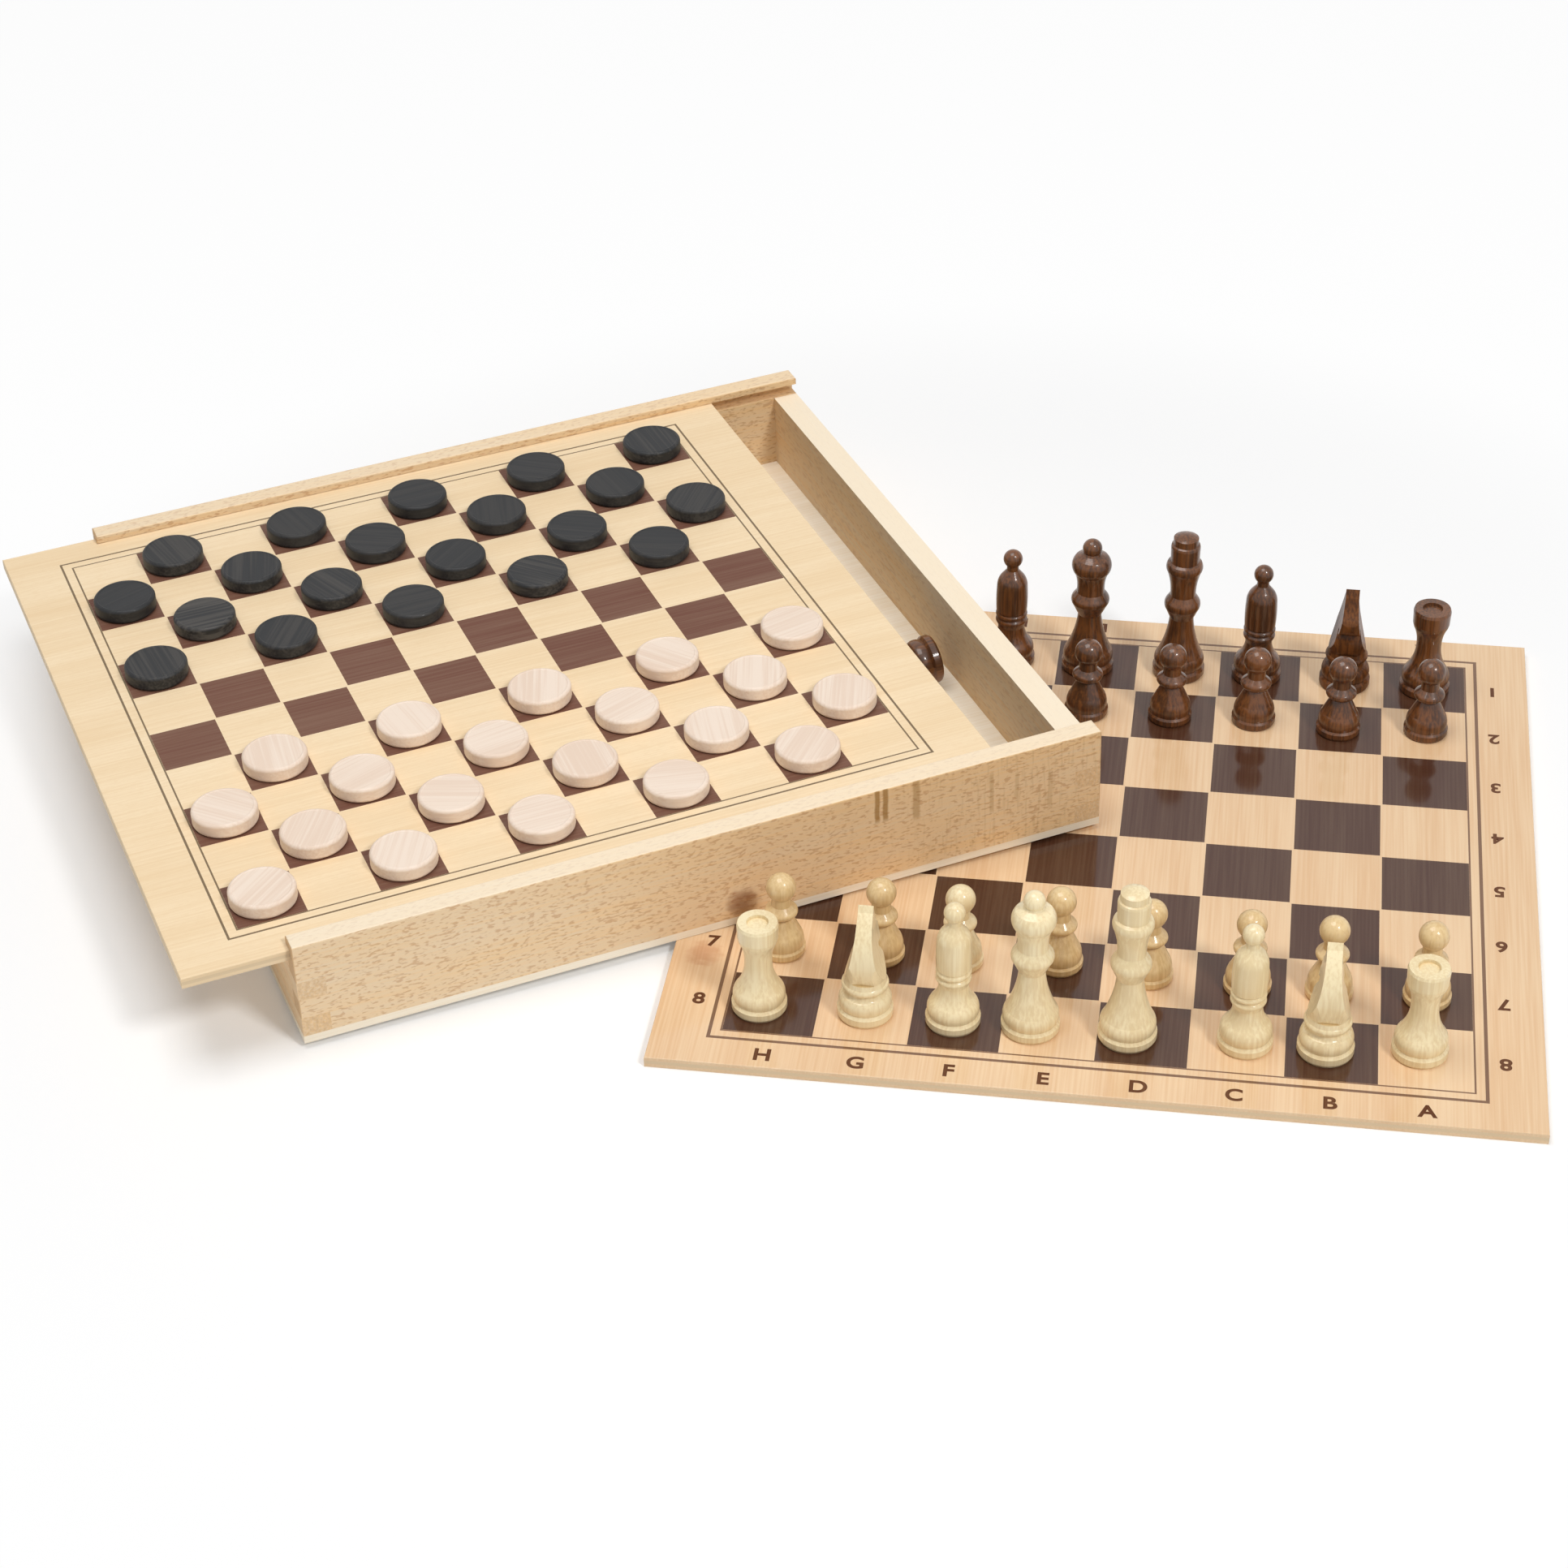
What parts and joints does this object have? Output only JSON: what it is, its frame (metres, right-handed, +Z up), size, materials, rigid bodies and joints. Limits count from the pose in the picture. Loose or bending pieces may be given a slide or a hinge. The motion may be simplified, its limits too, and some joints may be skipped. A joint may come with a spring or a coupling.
{
  "type": "chess and draughts box",
  "caption": "Chess and draughts set laid out for play: finger-jointed wooden box with a sliding draughts-board lid, a loose chess panel, turned chessmen and disc draughtsmen.",
  "frame": {"origin": "on the ground, under the middle of the chess panel", "axes": "+X to the right along the box's front wall, +Y to the back, +Z up; the chess panel is turned 30.8 degrees clockwise about +Z against the box"},
  "size_m": [0.542, 0.4998, 0.066],
  "materials": {
    "wall": "clear satin",
    "base": "plain plywood",
    "sliding_lid": "printed squares under clear satin",
    "chess_panel": "printed squares under clear gloss",
    "white_draughts": "satin",
    "black_draughts": "satin stain",
    "light_men": "lacquer",
    "dark_men": "stained lacquer"
  },
  "bodies": {
    "chess_panel": {"chess_panel": "chess_panel"},
    "box": {"base_panel": "base", "front_wall": "wall", "back_wall": "wall", "left_wall": "wall", "right_wall": "wall"},
    "lid": {"sliding_lid": "sliding_lid"},
    "black_draughts_1": {"black_draughts_1": "black_draughts"},
    "black_draughts_2": {"black_draughts_2": "black_draughts"},
    "black_draughts_3": {"black_draughts_3": "black_draughts"},
    "black_draughts_4": {"black_draughts_4": "black_draughts"},
    "dark_bishop_c": {"dark_bishop_c": "dark_men"},
    "dark_bishop_f": {"dark_bishop_f": "dark_men"},
    "dark_king_d": {"dark_king_d": "dark_men"},
    "dark_knight_b": {"dark_knight_b": "dark_men"},
    "dark_knight_g": {"dark_knight_g": "dark_men"},
    "dark_pawn_a": {"dark_pawn_a": "dark_men"},
    "dark_pawn_b": {"dark_pawn_b": "dark_men"},
    "dark_pawn_c": {"dark_pawn_c": "dark_men"},
    "dark_pawn_d": {"dark_pawn_d": "dark_men"},
    "dark_pawn_e": {"dark_pawn_e": "dark_men"},
    "dark_pawn_f": {"dark_pawn_f": "dark_men"},
    "dark_pawn_g": {"dark_pawn_g": "dark_men"},
    "dark_pawn_h": {"dark_pawn_h": "dark_men"},
    "dark_queen_e": {"dark_queen_e": "dark_men"},
    "dark_rook_a": {"dark_rook_a": "dark_men"},
    "dark_rook_h": {"dark_rook_h": "dark_men"},
    "light_bishop_c": {"light_bishop_c": "light_men"},
    "light_bishop_f": {"light_bishop_f": "light_men"},
    "light_king_d": {"light_king_d": "light_men"},
    "light_knight_b": {"light_knight_b": "light_men"},
    "light_knight_g": {"light_knight_g": "light_men"},
    "light_pawn_a": {"light_pawn_a": "light_men"},
    "light_pawn_b": {"light_pawn_b": "light_men"},
    "light_pawn_c": {"light_pawn_c": "light_men"},
    "light_pawn_d": {"light_pawn_d": "light_men"},
    "light_pawn_e": {"light_pawn_e": "light_men"},
    "light_pawn_f": {"light_pawn_f": "light_men"},
    "light_pawn_g": {"light_pawn_g": "light_men"},
    "light_pawn_h": {"light_pawn_h": "light_men"},
    "light_queen_e": {"light_queen_e": "light_men"},
    "light_rook_a": {"light_rook_a": "light_men"},
    "light_rook_h": {"light_rook_h": "light_men"},
    "white_draughts_1": {"white_draughts_1": "white_draughts"},
    "white_draughts_2": {"white_draughts_2": "white_draughts"},
    "white_draughts_3": {"white_draughts_3": "white_draughts"},
    "white_draughts_4": {"white_draughts_4": "white_draughts"}
  },
  "joints": [
    {"name": "box_lift", "type": "slide", "parent": "chess_panel", "child": "box", "axis": [0, 0, 1], "range_m": [0, 0.1]},
    {"name": "lid_slide", "type": "slide", "parent": "box", "child": "lid", "axis": [0.9999, 0, 0.0129], "range_m": [-0.24, 0.0375]},
    {"name": "black_draughts_1_lift", "type": "slide", "parent": "lid", "child": "black_draughts_1", "axis": [-0.0129, 0.0077, 0.9999], "range_m": [0, 0.04]},
    {"name": "black_draughts_2_lift", "type": "slide", "parent": "lid", "child": "black_draughts_2", "axis": [-0.0129, 0.0077, 0.9999], "range_m": [0, 0.04]},
    {"name": "black_draughts_3_lift", "type": "slide", "parent": "lid", "child": "black_draughts_3", "axis": [-0.0129, 0.0077, 0.9999], "range_m": [0, 0.04]},
    {"name": "black_draughts_4_lift", "type": "slide", "parent": "lid", "child": "black_draughts_4", "axis": [-0.0129, 0.0077, 0.9999], "range_m": [0, 0.04]},
    {"name": "dark_bishop_c_lift", "type": "slide", "parent": "chess_panel", "child": "dark_bishop_c", "axis": [0, 0, 1], "range_m": [0, 0.08]},
    {"name": "dark_bishop_f_lift", "type": "slide", "parent": "chess_panel", "child": "dark_bishop_f", "axis": [0, 0, 1], "range_m": [0, 0.08]},
    {"name": "dark_king_d_lift", "type": "slide", "parent": "chess_panel", "child": "dark_king_d", "axis": [0, 0, 1], "range_m": [0, 0.08]},
    {"name": "dark_knight_b_lift", "type": "slide", "parent": "chess_panel", "child": "dark_knight_b", "axis": [0, 0, 1], "range_m": [0, 0.08]},
    {"name": "dark_knight_g_slide", "type": "slide", "parent": "box", "child": "dark_knight_g", "axis": [0.9999, 0, 0.0129], "range_m": [-0.19, 0.037]},
    {"name": "dark_pawn_a_lift", "type": "slide", "parent": "chess_panel", "child": "dark_pawn_a", "axis": [0, 0, 1], "range_m": [0, 0.08]},
    {"name": "dark_pawn_b_lift", "type": "slide", "parent": "chess_panel", "child": "dark_pawn_b", "axis": [0, 0, 1], "range_m": [0, 0.08]},
    {"name": "dark_pawn_c_lift", "type": "slide", "parent": "chess_panel", "child": "dark_pawn_c", "axis": [0, 0, 1], "range_m": [0, 0.08]},
    {"name": "dark_pawn_d_lift", "type": "slide", "parent": "chess_panel", "child": "dark_pawn_d", "axis": [0, 0, 1], "range_m": [0, 0.08]},
    {"name": "dark_pawn_e_lift", "type": "slide", "parent": "chess_panel", "child": "dark_pawn_e", "axis": [0, 0, 1], "range_m": [0, 0.08]},
    {"name": "dark_pawn_f_slide", "type": "slide", "parent": "box", "child": "dark_pawn_f", "axis": [0.9999, 0, 0.0129], "range_m": [-0.19, 0.037]},
    {"name": "dark_pawn_g_slide", "type": "slide", "parent": "box", "child": "dark_pawn_g", "axis": [0.9999, 0, 0.0129], "range_m": [-0.19, 0.037]},
    {"name": "dark_pawn_h_slide", "type": "slide", "parent": "box", "child": "dark_pawn_h", "axis": [0.9999, 0, 0.0129], "range_m": [-0.19, 0.037]},
    {"name": "dark_queen_e_lift", "type": "slide", "parent": "chess_panel", "child": "dark_queen_e", "axis": [0, 0, 1], "range_m": [0, 0.08]},
    {"name": "dark_rook_a_lift", "type": "slide", "parent": "chess_panel", "child": "dark_rook_a", "axis": [0, 0, 1], "range_m": [0, 0.08]},
    {"name": "dark_rook_h_slide", "type": "slide", "parent": "box", "child": "dark_rook_h", "axis": [0.9999, 0, 0.0129], "range_m": [-0.23, 0.006]},
    {"name": "light_bishop_c_lift", "type": "slide", "parent": "chess_panel", "child": "light_bishop_c", "axis": [0, 0, 1], "range_m": [0, 0.08]},
    {"name": "light_bishop_f_lift", "type": "slide", "parent": "chess_panel", "child": "light_bishop_f", "axis": [0, 0, 1], "range_m": [0, 0.08]},
    {"name": "light_king_d_lift", "type": "slide", "parent": "chess_panel", "child": "light_king_d", "axis": [0, 0, 1], "range_m": [0, 0.08]},
    {"name": "light_knight_b_lift", "type": "slide", "parent": "chess_panel", "child": "light_knight_b", "axis": [0, 0, 1], "range_m": [0, 0.08]},
    {"name": "light_knight_g_lift", "type": "slide", "parent": "chess_panel", "child": "light_knight_g", "axis": [0, 0, 1], "range_m": [0, 0.08]},
    {"name": "light_pawn_a_lift", "type": "slide", "parent": "chess_panel", "child": "light_pawn_a", "axis": [0, 0, 1], "range_m": [0, 0.08]},
    {"name": "light_pawn_b_lift", "type": "slide", "parent": "chess_panel", "child": "light_pawn_b", "axis": [0, 0, 1], "range_m": [0, 0.08]},
    {"name": "light_pawn_c_lift", "type": "slide", "parent": "chess_panel", "child": "light_pawn_c", "axis": [0, 0, 1], "range_m": [0, 0.08]},
    {"name": "light_pawn_d_lift", "type": "slide", "parent": "chess_panel", "child": "light_pawn_d", "axis": [0, 0, 1], "range_m": [0, 0.08]},
    {"name": "light_pawn_e_lift", "type": "slide", "parent": "chess_panel", "child": "light_pawn_e", "axis": [0, 0, 1], "range_m": [0, 0.08]},
    {"name": "light_pawn_f_lift", "type": "slide", "parent": "chess_panel", "child": "light_pawn_f", "axis": [0, 0, 1], "range_m": [0, 0.08]},
    {"name": "light_pawn_g_lift", "type": "slide", "parent": "chess_panel", "child": "light_pawn_g", "axis": [0, 0, 1], "range_m": [0, 0.08]},
    {"name": "light_pawn_h_lift", "type": "slide", "parent": "chess_panel", "child": "light_pawn_h", "axis": [0, 0, 1], "range_m": [0, 0.08]},
    {"name": "light_queen_e_lift", "type": "slide", "parent": "chess_panel", "child": "light_queen_e", "axis": [0, 0, 1], "range_m": [0, 0.08]},
    {"name": "light_rook_a_lift", "type": "slide", "parent": "chess_panel", "child": "light_rook_a", "axis": [0, 0, 1], "range_m": [0, 0.08]},
    {"name": "light_rook_h_lift", "type": "slide", "parent": "chess_panel", "child": "light_rook_h", "axis": [0, 0, 1], "range_m": [0, 0.08]},
    {"name": "white_draughts_1_lift", "type": "slide", "parent": "lid", "child": "white_draughts_1", "axis": [-0.0129, 0.0077, 0.9999], "range_m": [0, 0.04]},
    {"name": "white_draughts_2_lift", "type": "slide", "parent": "lid", "child": "white_draughts_2", "axis": [-0.0129, 0.0077, 0.9999], "range_m": [0, 0.04]},
    {"name": "white_draughts_3_lift", "type": "slide", "parent": "lid", "child": "white_draughts_3", "axis": [-0.0129, 0.0077, 0.9999], "range_m": [0, 0.04]},
    {"name": "white_draughts_4_lift", "type": "slide", "parent": "lid", "child": "white_draughts_4", "axis": [-0.0129, 0.0077, 0.9999], "range_m": [0, 0.04]}
  ]
}
